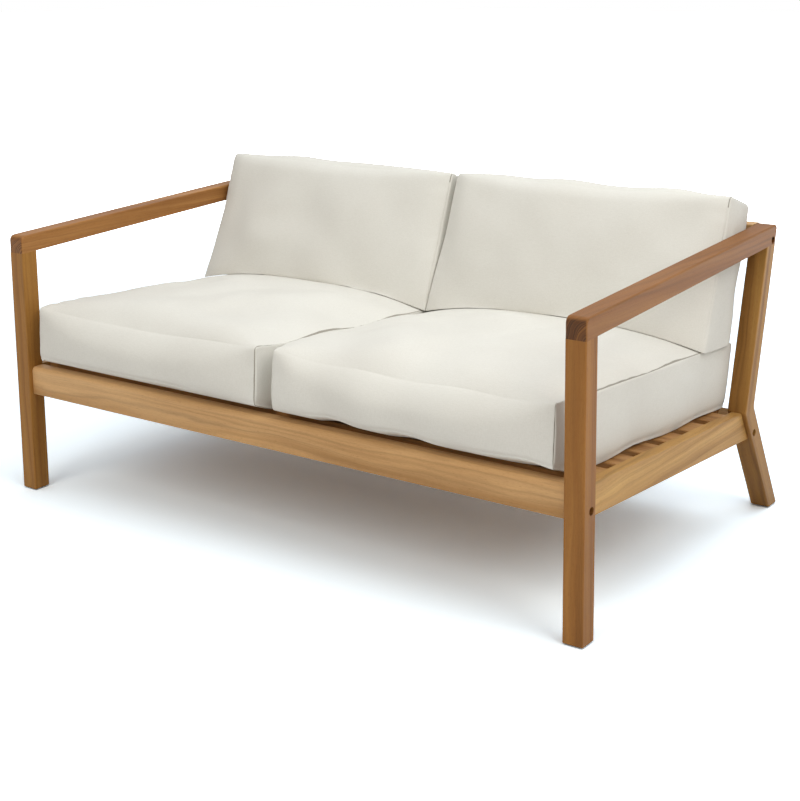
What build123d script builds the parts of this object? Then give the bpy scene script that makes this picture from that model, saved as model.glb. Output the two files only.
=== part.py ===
from build123d import *

import os
from math import cos, radians, sin, sqrt, tan

# A two-seat patio loveseat in solid timber, with two loose seat cushions and two loose back cushions.
# Millimetres. The front faces -Y, +X is to the right as seen from the front, +Z is up.
# The origin is on the ground, in the middle of the overall width and depth.

# Overall size
overall_width = 1380
overall_depth = 826.5

# Square timber of the legs and arms
leg_size = 39
leg_edge_radius = 2.5
arm_height = 37.2
arm_edge_radius = 3.5
arm_front_radius = 12
arm_rear_radius = 8

# Lines of the side frames, angles in degrees
arm_under_height = 520.6
arm_slope = 2.8
seat_slope = 3.54
back_lean = 14.2
heel_splay = 30.2
knee_height = 236
knee_front_radius = 3
knee_rear_radius = 12
foot_length = 41

# Rails
rail_thickness = 29.5
rail_height = 60
rail_edge_radius = 2.5
front_rail_nose_radius = 9
side_rail_thickness = 20
side_rail_edge_radius = 2.5
seat_rail_drop = 24.7
top_rail_tail = 30.5

# Seat slats and what carries them
seat_slat_width = 68
seat_slat_gap = 29.4
seat_slat_thickness = 15
seat_slat_edge = 1.5
first_slat_gap = 26.5
ledger_width = 20
ledger_height = 25
bearer_width = 20
bearer_height = 45

# Back slats, housed in the two back rails
back_slat_width = 68
back_slat_gap = 29.9
back_slat_thickness = 11
back_slat_edge = 1.5
slat_housing = 6
slat_seat_setback = 16.6

# Foot glides
glide_radius = 12
glide_thickness = 3

# Frame bolts with wide socket heads, and the bar nuts that they draw on inside the rails
bolt_radius = 4
bolt_length = 78
bolt_sides = 12
bolt_head_radius = 6.9
bolt_head_height = 5
bolt_socket_radius = 3
bolt_socket_depth = 3.5
bore_radius = 7.3
bore_depth = 18
bolt_hole_radius = 4.5
bolt_hole_spare = 5
rail_bolt_rise = 18.5
arm_bolt_rise = 8.7
nut_size = 12
nut_length = 22
nut_setback = 42

# Loose tenons in the joints
tenon_grip = 20
mortise_spare = 1
arm_tenon_width = 28
arm_tenon_thickness = 10
rear_tenon_width = 10
rear_tenon_offset = 14.3
cross_tenon_width = 14
cross_tenon_thickness = 10
cross_tenon_grip = 24
cross_tenon_leg_grip = 12
cross_tenon_drop = 19
side_tenon_width = 23
side_tenon_thickness = 8
side_tenon_drop = 18.2
bearer_tenon_width = 26
bearer_tenon_thickness = 8
bearer_tenon_drop = 27

# Wood screws
screw_sides = 8
screw_radius = 2
screw_head_radius = 4
screw_head_height = 2.4
screw_length = 35
screw_tip = 4
screw_tip_radius = 0.6
screw_hole_spare = 0.5
ledger_screw_length = 32
bearer_screw_sink = 20

# Clearances
fit = 0.1
soft_clearance = 0.3
overrun = 5

# Cushions
cushion_gap = 6
cushion_side_gap = 6
cover_thickness = 2.5
cover_side_runs = 4
core_side_runs = 3
seat_cushion_front = 31
seat_cushion_tail = 12.9
seat_cushion_height = 153
seat_corner_radius = 20
seat_rear_lean_share = 0.17
back_cushion_lean = 18.7
back_cushion_thickness = 122
back_cushion_height = 316
back_cushion_foot_lead = 0.5
back_cushion_foot_rise = 91.5
back_corner_radius = 14
zip_length = 420
zip_width = 14
zip_reach = 20
seat_zip_rise = 60
back_zip_rise = 70

# Shapes of the cushions: at each level a share of the height or thickness, and how far the outline is drawn in
# from its widest, as a share of half the cushion's width. The bows say how far each side swells (plus) or is
# pulled in (minus) between its corners, as a share of half that side: front or foot, right, rear or top, left.
seat_level_shares = (
    (0.0, 0.05), (0.07, 0.014), (0.26, 0.001), (0.55, 0.0), (0.73, 0.022), (0.85, 0.09),
    (0.93, 0.22), (0.98, 0.43), (1.0, 0.72),
)
seat_core_level_shares = ((0.0, 0.07), (0.15, 0.02), (0.6, 0.02), (0.82, 0.1), (0.95, 0.36), (0.99, 0.75))
seat_bow_shares = (0.03, -0.012, -0.01, -0.012)
back_level_shares = (
    (-0.07, 0.38), (-0.05, 0.18), (-0.01, 0.056), (0.07, 0.01), (0.28, 0.0),
    (0.72, 0.0), (0.93, 0.01), (1.01, 0.056), (1.08, 0.16), (1.13, 0.38),
)
back_core_level_shares = ((-0.04, 0.3), (-0.01, 0.1), (0.1, 0.02), (0.9, 0.02), (1.01, 0.1), (1.08, 0.3))
back_bow_shares = (-0.02, -0.016, -0.02, -0.016)
seat_corner_growth_share = 0.15
back_corner_growth_share = 0.07

# Everything below follows from the values above.
half_width = overall_width / 2
front = -overall_depth / 2
inner_x = half_width - leg_size
leg_x = half_width - leg_size / 2
rail_inner_x = leg_x - side_rail_thickness / 2
lean_tan = tan(radians(back_lean))
slope_tan = tan(radians(arm_slope))
knee_y = overall_depth - foot_length - (knee_height - glide_thickness) * tan(radians(heel_splay))
seat_height = knee_height + (knee_y - leg_size) * tan(radians(seat_slope))
back_slat_pitch = back_slat_width + back_slat_gap
back_slat_count = int(2 * inner_x // back_slat_pitch)
cushion_width = inner_x - cushion_gap / 2 - cushion_side_gap
cushion_x = (cushion_gap + cushion_width) / 2


def on_back(setback, rise):
    """Side point this far behind the upper rear leg's front face and above the arm's underside."""
    line_y = knee_y + setback / cos(radians(back_lean))
    height = (arm_under_height + rise + slope_tan * (line_y - knee_height * lean_tan)) / (1 - slope_tan * lean_tan)
    return (line_y + (height - knee_height) * lean_tan, height)


def side_plane(x):
    """Upright plane across the width: its x runs rearwards from the front face, its y up."""
    return Plane(origin=(x, front, 0), x_dir=(0, 1, 0), z_dir=(1, 0, 0))


def sloping_plane(point, tilt):
    """Plane through a side point, x across the width, its normal tilted towards the front by tilt degrees."""
    return Plane(
        origin=(0, front + point[0], point[1]),
        x_dir=(1, 0, 0),
        z_dir=(0, -sin(radians(tilt)), cos(radians(tilt))),
    )


# Planes that the pieces share. On each, x runs across the width.
top_bolt = on_back(leg_size - rail_thickness / 2, arm_bolt_rise)
seat_plane = sloping_plane((leg_size, seat_height), -seat_slope)
arm_plane = sloping_plane((0, arm_under_height), arm_slope)
front_rail_plane = sloping_plane((leg_size, seat_height), 90)
back_plane = sloping_plane(top_bolt, 90 - back_lean)
kick_plane = sloping_plane((knee_y, knee_height), 90 + heel_splay)
seat_run = (knee_y - leg_size) / cos(radians(seat_slope))
seat_slat_pitch = seat_slat_width + seat_slat_gap
seat_slat_count = int((seat_run - first_slat_gap) // seat_slat_pitch)
seat_cushion_length = seat_run + seat_cushion_front + seat_cushion_tail
kick_tan = tan(radians(heel_splay + seat_slope))

# The seat cushion's plane is its underside, its origin at the cushion's front edge. The back cushion's plane is
# that of its rear seam, its normal points to the front and its y up the backrest.
seat_cushion_plane = Plane(
    origin=seat_plane.from_local_coords((cushion_x, -seat_cushion_front, soft_clearance)),
    x_dir=seat_plane.x_dir,
    z_dir=seat_plane.z_dir,
)
back_cushion_plane = Plane(
    origin=(cushion_x, front + knee_y - back_cushion_foot_lead, knee_height + back_cushion_foot_rise),
    x_dir=(1, 0, 0),
    z_dir=(0, -cos(radians(back_cushion_lean)), sin(radians(back_cushion_lean))),
)

# The back slats stand on the seat rail's top and point at the middle of the top rail.
slat_foot = kick_plane.from_local_coords((0, -seat_rail_drop, -slat_seat_setback))
slat_run = back_plane.origin - slat_foot
slat_plane = Plane(origin=slat_foot, x_dir=(1, 0, 0), z_dir=slat_run)
slat_top = slat_run.length - top_rail_tail + slat_housing
housing_plane = Plane(
    origin=kick_plane.from_local_coords((0, -seat_rail_drop - slat_housing, 0)),
    x_dir=(1, 0, 0),
    z_dir=kick_plane.y_dir,
)


def both_sides(plane, x, y, z):
    """Places at x and -x on a plane, each facing outwards."""
    return [plane.location * Pos(side * x, y, z) * Rot(0, side * 90, 0) for side in (1, -1)]


# Where the fasteners go
rail_bolt_drop = rail_height - rail_bolt_rise
front_rail_middle = rail_thickness / 2
seat_rail_middle = -rail_thickness / 2
bolt_places = (
    both_sides(front_rail_plane, half_width, -rail_bolt_drop, front_rail_middle)
    + both_sides(kick_plane, half_width, -seat_rail_drop - rail_bolt_drop, seat_rail_middle)
    + both_sides(back_plane, half_width, 0, 0)
)
nut_x = inner_x - nut_setback
nut_places = []
for side in (1, -1):
    nut_places += [
        front_rail_plane.location * Pos(side * nut_x, -rail_bolt_drop, front_rail_middle) * Rot(180, 0, 0),
        kick_plane.location * Pos(side * nut_x, -seat_rail_drop - rail_bolt_drop, seat_rail_middle),
        back_plane.location * Pos(side * nut_x, 0, 0),
    ]
cross_tenon_places = (
    both_sides(front_rail_plane, inner_x, -cross_tenon_drop, front_rail_middle)
    + both_sides(kick_plane, inner_x, -seat_rail_drop - cross_tenon_drop, seat_rail_middle)
    + both_sides(back_plane, inner_x, -cross_tenon_drop, 0)
)

# The rear arm tenon lies along the leg, in front of the bolt, where the arm's underside crosses it.
bolt_rise_square = arm_bolt_rise * sin(radians(back_lean))
rear_tenon_y = -arm_bolt_rise * cos(radians(back_lean)) - (
    rear_tenon_offset + bolt_rise_square
) * tan(radians(back_lean + arm_slope))
arm_tenon_places = []
rear_arm_tenon_places = []
side_tenon_places = []
side_tenon_y = seat_run + side_tenon_drop * kick_tan
for side in (1, -1):
    arm_tenon_places.append(arm_plane.location * Pos(side * leg_x, leg_size / 2, 0))
    rear_arm_tenon_places.append(
        back_plane.location * Pos(side * leg_x, rear_tenon_y, rear_tenon_offset) * Rot(-90, 0, 0)
    )
    for tenon_y in (0, side_tenon_y):
        side_tenon_places.append(seat_plane.location * Pos(side * leg_x, tenon_y, -side_tenon_drop) * Rot(90, 0, 0))
bearer_drop = seat_slat_thickness + bearer_tenon_drop
bearer_tenon_places = [
    seat_plane.location * Pos(0, tenon_y, -bearer_drop) * Rot(90, 0, 0)
    for tenon_y in (0, seat_run + bearer_drop * kick_tan)
]

# Slat screws go up from below, ledger screws outwards between the slats.
seat_slat_places = [first_slat_gap + seat_slat_width / 2 + i * seat_slat_pitch for i in range(seat_slat_count)]
ledger_x = rail_inner_x - ledger_width / 2
ledger_under = -seat_slat_thickness - ledger_height
bearer_under = -seat_slat_thickness - bearer_height
slat_screw_places = []
for slat_y in seat_slat_places:
    for side in (1, -1):
        slat_screw_places.append(seat_plane.location * Pos(side * ledger_x, slat_y, ledger_under) * Rot(180, 0, 0))
bearer_screw_places = [
    seat_plane.location * Pos(0, slat_y, bearer_under + bearer_screw_sink) * Rot(180, 0, 0)
    for slat_y in seat_slat_places
]
ledger_screw_places = []
for i in range(seat_slat_count // 2):
    screw_y = first_slat_gap + seat_slat_width + seat_slat_gap / 2 + 2 * i * seat_slat_pitch
    for side in (1, -1):
        ledger_screw_places.append(
            seat_plane.location
            * Pos(side * (rail_inner_x - ledger_width), screw_y, ledger_under + ledger_height / 2)
            * Rot(0, -side * 90, 0)
        )
glide_places = [
    Location((side * leg_x, front + foot_y, glide_thickness))
    for side in (1, -1)
    for foot_y in (leg_size / 2, overall_depth - foot_length / 2)
]


# Fasteners and their holes. Each is drawn about its own axis, which points out of the timber.
with BuildPart() as bolt:
    with Locations((0, 0, -bore_depth)):
        Cylinder(bolt_head_radius, bolt_head_height, align=(Align.CENTER, Align.CENTER, Align.MIN))
    with BuildSketch(Plane.XY.offset(-bore_depth)):
        RegularPolygon(bolt_radius, bolt_sides)
    extrude(amount=-bolt_length)
    with BuildSketch(Plane.XY.offset(bolt_head_height - bore_depth)):
        RegularPolygon(bolt_socket_radius, 6)
    extrude(amount=-bolt_socket_depth, mode=Mode.SUBTRACT)

with BuildPart() as bolt_hole:
    Cylinder(bore_radius, bore_depth, align=(Align.CENTER, Align.CENTER, Align.MAX))
    with BuildSketch(Plane.XY.offset(-bore_depth)):
        RegularPolygon(bolt_hole_radius, bolt_sides)
    extrude(amount=-bolt_length - bolt_hole_spare)

with BuildPart() as bar_nut:
    Box(nut_size, nut_size, nut_length)
    with BuildSketch(Plane.YZ):
        RegularPolygon(bolt_radius + fit, bolt_sides)
    extrude(amount=nut_size, both=True, mode=Mode.SUBTRACT)

with BuildPart() as nut_slot:
    with Locations((0, 0, -nut_length / 2)):
        Box(
            nut_size + 2 * fit,
            nut_size + 2 * fit,
            nut_length / 2 + rail_thickness / 2 + overrun,
            align=(Align.CENTER, Align.CENTER, Align.MIN),
        )


def tenon(width, thickness, grip, far_grip):
    """A loose tenon that reaches grip below its place and far_grip above it."""
    with BuildPart() as piece:
        with Locations((0, 0, -grip)):
            Box(thickness, width, grip + far_grip, align=(Align.CENTER, Align.CENTER, Align.MIN))
    return piece.part


def mortise(width, thickness, grip, far_grip):
    """The mortises for such a tenon, a little wider and deeper."""
    return tenon(width + 2 * fit, thickness + 2 * fit, grip + mortise_spare, far_grip + mortise_spare)


def wood_screw(length, grow):
    """A countersunk screw with a pointed tip, or with grow over 0 the hole for it."""
    shank = screw_radius + grow
    sections = []
    for rise, radius in (
        (0, screw_head_radius + grow),
        (-screw_head_height, shank),
        (screw_tip - length, shank),
        (-length - grow, screw_tip_radius + grow),
    ):
        with BuildSketch(Plane.XY.offset(rise)) as section:
            RegularPolygon(radius, screw_sides)
        sections.append(section.sketch)
    with BuildPart() as piece:
        loft(sections, ruled=True)
    return piece.part


with BuildPart() as glide:
    with Locations((0, 0, -glide_thickness)):
        Cylinder(glide_radius, glide_thickness, align=(Align.CENTER, Align.CENTER, Align.MIN))

with BuildPart() as bearer_screw_bore:
    with BuildSketch():
        RegularPolygon(screw_head_radius + screw_hole_spare, screw_sides)
    extrude(amount=bearer_screw_sink + overrun)


def at_places(form, places):
    """One form repeated at each of the places."""
    with BuildPart() as group:
        with Locations(*places):
            add(form)
    return group.part


bolt_holes = at_places(bolt_hole.part, bolt_places)
nut_slots = at_places(nut_slot.part, nut_places)
arm_tenon_sizes = (arm_tenon_width, arm_tenon_thickness, tenon_grip, tenon_grip)
rear_tenon_sizes = (rear_tenon_width, arm_tenon_thickness, tenon_grip, tenon_grip)
cross_tenon_sizes = (cross_tenon_width, cross_tenon_thickness, cross_tenon_grip, cross_tenon_leg_grip)
side_tenon_sizes = (side_tenon_width, side_tenon_thickness, tenon_grip, tenon_grip)
bearer_tenon_sizes = (bearer_tenon_width, bearer_tenon_thickness, tenon_grip, tenon_grip)
arm_mortises = at_places(mortise(*arm_tenon_sizes), arm_tenon_places)
rear_arm_mortises = at_places(mortise(*rear_tenon_sizes), rear_arm_tenon_places)
cross_mortises = at_places(mortise(*cross_tenon_sizes), cross_tenon_places)
side_mortises = at_places(mortise(*side_tenon_sizes), side_tenon_places)
bearer_mortises = at_places(mortise(*bearer_tenon_sizes), bearer_tenon_places)
slat_screw_holes = at_places(wood_screw(screw_length, fit), slat_screw_places + bearer_screw_places)
bearer_screw_bores = at_places(bearer_screw_bore.part, bearer_screw_places)
ledger_screw_holes = at_places(wood_screw(ledger_screw_length, fit), ledger_screw_places)


def drill(*holes):
    """Cut the holes from the piece being built."""
    for hole in holes:
        add(hole, mode=Mode.SUBTRACT)


def write(piece, name):
    """Label a finished piece and write it under its own name."""
    piece.part.label = name
    export_step(piece.part, f"parts/{name}.step")


def write_left(right_piece, name):
    """The same piece for the other side."""
    with BuildPart() as left_piece:
        mirror(right_piece.part, about=Plane.YZ)
    write(left_piece, name)


os.makedirs("parts", exist_ok=True)

# Front leg: an upright post cut to the arm's slope
with BuildPart() as front_right_leg:
    with BuildSketch(Plane.XY.offset(glide_thickness)):
        with Locations((leg_x, front + leg_size / 2)):
            Rectangle(leg_size, leg_size)
    extrude(amount=arm_under_height)
    fillet(front_right_leg.edges().filter_by(Axis.Z), leg_edge_radius)
    split(bisect_by=arm_plane, keep=Keep.BOTTOM)
    drill(bolt_holes, cross_mortises, arm_mortises, side_mortises)
write(front_right_leg, "front_right_leg")
write_left(front_right_leg, "front_left_leg")

# Rear leg: it leans back with the backrest above the knee, and kicks back to the floor below it
knee_turn = radians((back_lean + heel_splay) / 2)
knee_rise = radians((heel_splay - back_lean) / 2)
knee_rear = (
    knee_y + leg_size * cos(knee_rise) / cos(knee_turn),
    knee_height + leg_size * sin(knee_rise) / cos(knee_turn),
)
with BuildPart() as rear_right_leg:
    with BuildSketch(side_plane(inner_x)) as outline:
        with BuildLine():
            Polyline(
                (knee_y, knee_height),
                (overall_depth - foot_length, glide_thickness),
                (overall_depth, glide_thickness),
                knee_rear,
                on_back(leg_size, 0),
                on_back(0, 0),
                close=True,
            )
        make_face()
        fillet(outline.vertices().sort_by_distance((knee_y, knee_height))[0], knee_front_radius)
        fillet(outline.vertices().sort_by_distance(knee_rear)[0], knee_rear_radius)
    extrude(amount=leg_size)
    long_edges = rear_right_leg.faces().filter_by(Axis.X).edges().filter_by(Plane.YZ)
    long_edges = [
        edge
        for edge in long_edges
        if edge.center().Z > glide_thickness + leg_edge_radius
        and abs(arm_plane.to_local_coords(edge.center()).Z) > leg_edge_radius
    ]
    fillet(long_edges, leg_edge_radius)
    drill(bolt_holes, cross_mortises, rear_arm_mortises, side_mortises)
write(rear_right_leg, "rear_right_leg")
write_left(rear_right_leg, "rear_left_leg")

# Arm: a straight bar on the two legs, its top corners rounded over
arm_front_top = (0, arm_under_height + arm_height)
arm_rear_top = on_back(leg_size, arm_height)
with BuildPart() as right_arm:
    with BuildSketch(side_plane(inner_x)) as outline:
        with BuildLine():
            Polyline(
                (0, arm_under_height),
                on_back(leg_size, 0),
                arm_rear_top,
                arm_front_top,
                close=True,
            )
        make_face()
        fillet(outline.vertices().sort_by_distance(arm_front_top)[0], arm_front_radius)
        fillet(outline.vertices().sort_by_distance(arm_rear_top)[0], arm_rear_radius)
    extrude(amount=leg_size)
    round_edges = [
        edge
        for edge in right_arm.faces().filter_by(Axis.X).edges()
        if arm_plane.to_local_coords(edge.center()).Z > arm_edge_radius
    ]
    fillet(round_edges, arm_edge_radius)
    drill(bolt_holes, arm_mortises, rear_arm_mortises)
write(right_arm, "right_arm")
write_left(right_arm, "left_arm")

# Side rail: a board between the legs, its top on the seat's slope, cut to the rear leg's kick
with BuildPart() as right_side_rail:
    with BuildSketch(seat_plane):
        with Locations((leg_x, seat_run / 2)):
            Rectangle(side_rail_thickness, seat_run + 2 * rail_height)
    extrude(amount=-rail_height)
    outer_edges = right_side_rail.edges().filter_by(Axis(seat_plane.origin, seat_plane.y_dir)).group_by(Axis.X)[-1]
    fillet(outer_edges, side_rail_edge_radius)
    split(bisect_by=front_rail_plane, keep=Keep.BOTTOM)
    split(bisect_by=kick_plane, keep=Keep.TOP)
    drill(side_mortises, ledger_screw_holes)
write(right_side_rail, "right_side_rail")
write_left(right_side_rail, "left_side_rail")

# Slat ledger: a strip on the side rail's inner face that carries the slats' ends
with BuildPart() as right_slat_ledger:
    with BuildSketch(seat_plane.offset(-seat_slat_thickness)):
        with Locations((ledger_x, seat_run / 2)):
            Rectangle(ledger_width, seat_run + 2 * rail_height)
    extrude(amount=-ledger_height)
    split(bisect_by=front_rail_plane, keep=Keep.BOTTOM)
    split(bisect_by=kick_plane, keep=Keep.TOP)
    drill(slat_screw_holes, ledger_screw_holes)
write(right_slat_ledger, "right_slat_ledger")
write_left(right_slat_ledger, "left_slat_ledger")

# Centre bearer: it carries the middle of the slats, from the front rail to the seat rail
with BuildPart() as centre_bearer:
    with BuildSketch(seat_plane.offset(-seat_slat_thickness)):
        with Locations((0, seat_run / 2)):
            Rectangle(bearer_width, seat_run + 2 * rail_height)
    extrude(amount=-bearer_height)
    split(bisect_by=front_rail_plane, keep=Keep.BOTTOM)
    split(bisect_by=kick_plane, keep=Keep.TOP)
    drill(bearer_mortises, slat_screw_holes, bearer_screw_bores)
write(centre_bearer, "centre_bearer")

# Front rail: between the front legs, its top front edge rounded
with BuildPart() as front_rail:
    with BuildSketch(side_plane(-inner_x)) as outline:
        with Locations((leg_size - rail_thickness / 2, seat_height - rail_height / 2)):
            Rectangle(rail_thickness, rail_height)
        nose = outline.vertices().sort_by_distance((leg_size - rail_thickness, seat_height))[0]
        fillet(nose, front_rail_nose_radius)
        fillet(outline.vertices().group_by(Axis.Y)[0], rail_edge_radius)
    extrude(amount=2 * inner_x)
    drill(bolt_holes, nut_slots, cross_mortises, bearer_mortises)
write(front_rail, "front_rail")

# Back slats with square edges, as the housings in the rails take them
with BuildPart() as slat_blocks:
    with BuildSketch(slat_plane.offset(-rail_height)):
        with GridLocations(back_slat_pitch, 0, back_slat_count, 1):
            Rectangle(back_slat_width, back_slat_thickness)
    extrude(amount=slat_top + rail_height)
    split(bisect_by=housing_plane, keep=Keep.TOP)

# Seat rail at the back: it lies along the rear legs' kick and takes the feet of the back slats
with BuildPart() as back_seat_rail:
    with BuildSketch(kick_plane) as outline:
        with Locations((0, -seat_rail_drop - rail_height / 2)):
            Rectangle(2 * inner_x, rail_height)
    extrude(amount=-rail_thickness)
    fillet(back_seat_rail.edges().filter_by(Axis.X).group_by(Axis.Z)[0], rail_edge_radius)
    drill(slat_blocks.part, bolt_holes, nut_slots, cross_mortises, bearer_mortises)
write(back_seat_rail, "back_seat_rail")

# Top rail of the back: flush with the arms above and with the rear legs behind
top_front = on_back(leg_size - rail_thickness, arm_height)
top_rear = on_back(leg_size, arm_height)
tail_middle = (
    top_bolt[0] - top_rail_tail * sin(radians(back_lean)),
    top_bolt[1] - top_rail_tail * cos(radians(back_lean)),
)
half_rail_y = rail_thickness / 2 * cos(radians(back_lean))
half_rail_z = rail_thickness / 2 * sin(radians(back_lean))
with BuildPart() as back_top_rail:
    with BuildSketch(side_plane(-inner_x)) as outline:
        with BuildLine():
            Polyline(
                top_front,
                top_rear,
                (tail_middle[0] + half_rail_y, tail_middle[1] - half_rail_z),
                (tail_middle[0] - half_rail_y, tail_middle[1] + half_rail_z),
                close=True,
            )
        make_face()
        fillet(outline.vertices(), rail_edge_radius)
    extrude(amount=2 * inner_x)
    drill(slat_blocks.part, bolt_holes, nut_slots, cross_mortises)
write(back_top_rail, "back_top_rail")

# Seat slats, flush with the side rails
for i, slat_y in enumerate(seat_slat_places):
    with BuildPart() as seat_slat:
        with BuildSketch(seat_plane):
            with Locations((0, slat_y)):
                Rectangle(2 * rail_inner_x, seat_slat_width)
        extrude(amount=-seat_slat_thickness)
        upper = seat_slat.edges().filter_by(Axis.X).sort_by(lambda edge: seat_plane.to_local_coords(edge.center()).Z)
        chamfer(upper[-2:], seat_slat_edge)
        drill(slat_screw_holes)
    write(seat_slat, f"seat_slat_{i + 1}")

# Back slats, with their long edges eased
for i in range(back_slat_count):
    slat_x = (i - (back_slat_count - 1) / 2) * back_slat_pitch
    with BuildPart() as back_slat:
        with BuildSketch(slat_plane.offset(-rail_height)):
            with Locations((slat_x, 0)):
                Rectangle(back_slat_width, back_slat_thickness)
        extrude(amount=slat_top + rail_height)
        chamfer(back_slat.edges().filter_by(Axis(slat_foot, slat_run)), back_slat_edge)
        split(bisect_by=housing_plane, keep=Keep.TOP)
    write(back_slat, f"back_slat_{i + 1:02d}")


# Fasteners, each kind in one group
fastener_groups = {
    "frame_bolts": (bolt.part, bolt_places),
    "bar_nuts": (bar_nut.part, nut_places),
    "cross_rail_tenons": (tenon(*cross_tenon_sizes), cross_tenon_places),
    "arm_tenons": (tenon(*arm_tenon_sizes), arm_tenon_places),
    "rear_arm_tenons": (tenon(*rear_tenon_sizes), rear_arm_tenon_places),
    "side_rail_tenons": (tenon(*side_tenon_sizes), side_tenon_places),
    "bearer_tenons": (tenon(*bearer_tenon_sizes), bearer_tenon_places),
    "slat_screws": (wood_screw(screw_length, 0), slat_screw_places + bearer_screw_places),
    "ledger_screws": (wood_screw(ledger_screw_length, 0), ledger_screw_places),
    "foot_glides": (glide.part, glide_places),
}
for name, (form, places) in fastener_groups.items():
    with BuildPart() as group:
        with Locations(*places):
            add(form)
    write(group, name)


# Cushions
def cushion_outline(plane, half_x, low, high, corner, bow_shares, runs):
    """Points of four sides in a number of straight runs, each bowed out or in, with blunted corners."""
    half_y = (high - low) / 2
    slack = corner * (1 - sqrt(0.5))
    points = []
    for turn, bow_share in enumerate(bow_shares):
        reach, across = (half_x, half_y) if turn % 2 == 0 else (half_y, half_x)
        far = reach - corner
        side_points = []
        for step in range(runs + 1):
            share = 2 * step / runs - 1
            side_points.append((far * share, -across - far * bow_share * (1 - share * share)))
        side_points.append((reach - slack, slack - across))
        turned = radians(90 * turn)
        for x, y in side_points:
            turned_x = x * cos(turned) - y * sin(turned)
            turned_y = x * sin(turned) + y * cos(turned)
            points.append(plane.from_local_coords((turned_x, turned_y + (low + high) / 2, 0)))
    return points


def flat_sided_loft(outlines):
    """A solid of flat faces from each outline to the next. Their matching sides are parallel."""
    faces = [Face(Wire.make_polygon(outlines[0])), Face(Wire.make_polygon(outlines[-1]))]
    for lower, upper in zip(outlines, outlines[1:]):
        for i in range(len(lower)):
            faces.append(Face(Wire.make_polygon([lower[i - 1], lower[i], upper[i], upper[i - 1]])))
    return Solid(Shell(faces))


def seat_form(level_shares, shrink, runs):
    """The right seat cushion's form on the slats, crowned, made smaller all round by shrink."""
    half = cushion_width / 2
    outlines = []
    for height_share, inset_share in level_shares:
        height = shrink + height_share * (seat_cushion_height - 2 * shrink)
        inset = inset_share * half + shrink
        outlines.append(
            cushion_outline(
                seat_cushion_plane.offset(height),
                half - inset,
                inset,
                seat_cushion_length + seat_rear_lean_share * height - inset,
                seat_corner_radius + seat_corner_growth_share * inset,
                seat_bow_shares,
                runs,
            )
        )
    return flat_sided_loft(outlines)


def back_form(level_shares, shrink, runs):
    """The right back cushion's form before the seat cushion shapes its foot, made smaller by shrink."""
    half = cushion_width / 2
    outlines = []
    for depth_share, inset_share in level_shares:
        depth = shrink + depth_share * (back_cushion_thickness - 2 * shrink)
        inset = inset_share * half + shrink
        outlines.append(
            cushion_outline(
                back_cushion_plane.offset(depth),
                half - inset,
                inset,
                back_cushion_height - inset,
                back_corner_radius + back_corner_growth_share * inset,
                back_bow_shares,
                runs,
            )
        )
    return flat_sided_loft(outlines)


def write_cushion(kind, core, shell, zip_place, zip_sizes):
    """Divide a cushion's shell into its cover and its zip, and write both cushions of the kind."""
    with BuildPart() as zip_strip:
        add(shell)
        with Locations(zip_place):
            Box(*zip_sizes, mode=Mode.INTERSECT)
    with BuildPart() as cover:
        add(shell)
        with Locations(zip_place):
            Box(*zip_sizes, mode=Mode.SUBTRACT)
    for piece, name in ((core, "core"), (cover, "cover"), (zip_strip, "zip")):
        write(piece, f"right_{kind}_{name}")
        write_left(piece, f"left_{kind}_{name}")


# Seat cushion: a thin sewn cover over a filling, with a zip across its rear side
with BuildPart() as seat_core:
    add(seat_form(seat_core_level_shares, cover_thickness, core_side_runs))
with BuildPart() as seat_shell:
    add(seat_form(seat_level_shares, 0, cover_side_runs))
    add(seat_core.part, mode=Mode.SUBTRACT)
seat_rear_y = seat_cushion_length + seat_rear_lean_share * seat_zip_rise
write_cushion(
    "seat",
    seat_core,
    seat_shell.part,
    seat_cushion_plane.location * Pos(0, seat_rear_y, seat_zip_rise),
    (zip_length, 2 * zip_reach, zip_width),
)

# Back cushion: made the same way, its foot shaped by the seat cushion it stands on, its zip low on the rear side
with BuildPart() as back_core:
    add(back_form(back_core_level_shares, cover_thickness, core_side_runs))
    add(seat_form(seat_level_shares, -soft_clearance - cover_thickness, cover_side_runs), mode=Mode.SUBTRACT)
with BuildPart() as back_shell:
    add(back_form(back_level_shares, 0, cover_side_runs))
    add(seat_form(seat_level_shares, -soft_clearance, cover_side_runs), mode=Mode.SUBTRACT)
    add(back_core.part, mode=Mode.SUBTRACT)
write_cushion(
    "back",
    back_core,
    back_shell.part,
    back_cushion_plane.location * Pos(0, back_zip_rise, 0),
    (zip_length, zip_width, 2 * zip_reach),
)
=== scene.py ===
from math import radians

import bpy
import numpy as np
from mathutils import Matrix, Vector


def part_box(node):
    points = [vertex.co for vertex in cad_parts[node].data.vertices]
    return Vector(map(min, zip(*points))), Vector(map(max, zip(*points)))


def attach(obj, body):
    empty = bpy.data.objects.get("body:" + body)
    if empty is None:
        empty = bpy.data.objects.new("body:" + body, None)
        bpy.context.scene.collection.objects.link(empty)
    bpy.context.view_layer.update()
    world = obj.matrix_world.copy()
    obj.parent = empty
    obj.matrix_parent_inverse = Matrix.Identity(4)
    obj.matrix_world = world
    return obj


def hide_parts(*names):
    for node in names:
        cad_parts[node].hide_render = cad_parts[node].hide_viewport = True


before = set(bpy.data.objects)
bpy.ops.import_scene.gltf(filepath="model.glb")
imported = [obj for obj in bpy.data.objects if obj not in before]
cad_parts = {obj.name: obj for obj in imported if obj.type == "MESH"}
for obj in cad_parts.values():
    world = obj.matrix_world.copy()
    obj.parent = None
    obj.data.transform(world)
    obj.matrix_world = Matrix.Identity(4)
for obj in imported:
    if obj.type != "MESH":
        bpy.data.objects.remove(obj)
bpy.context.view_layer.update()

# Lengths are in metres and angles in degrees. +Z is up, the front faces -Y and +X is to the right.
# Colours are linear red, green and blue, and one number stands for a grey.

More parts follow.
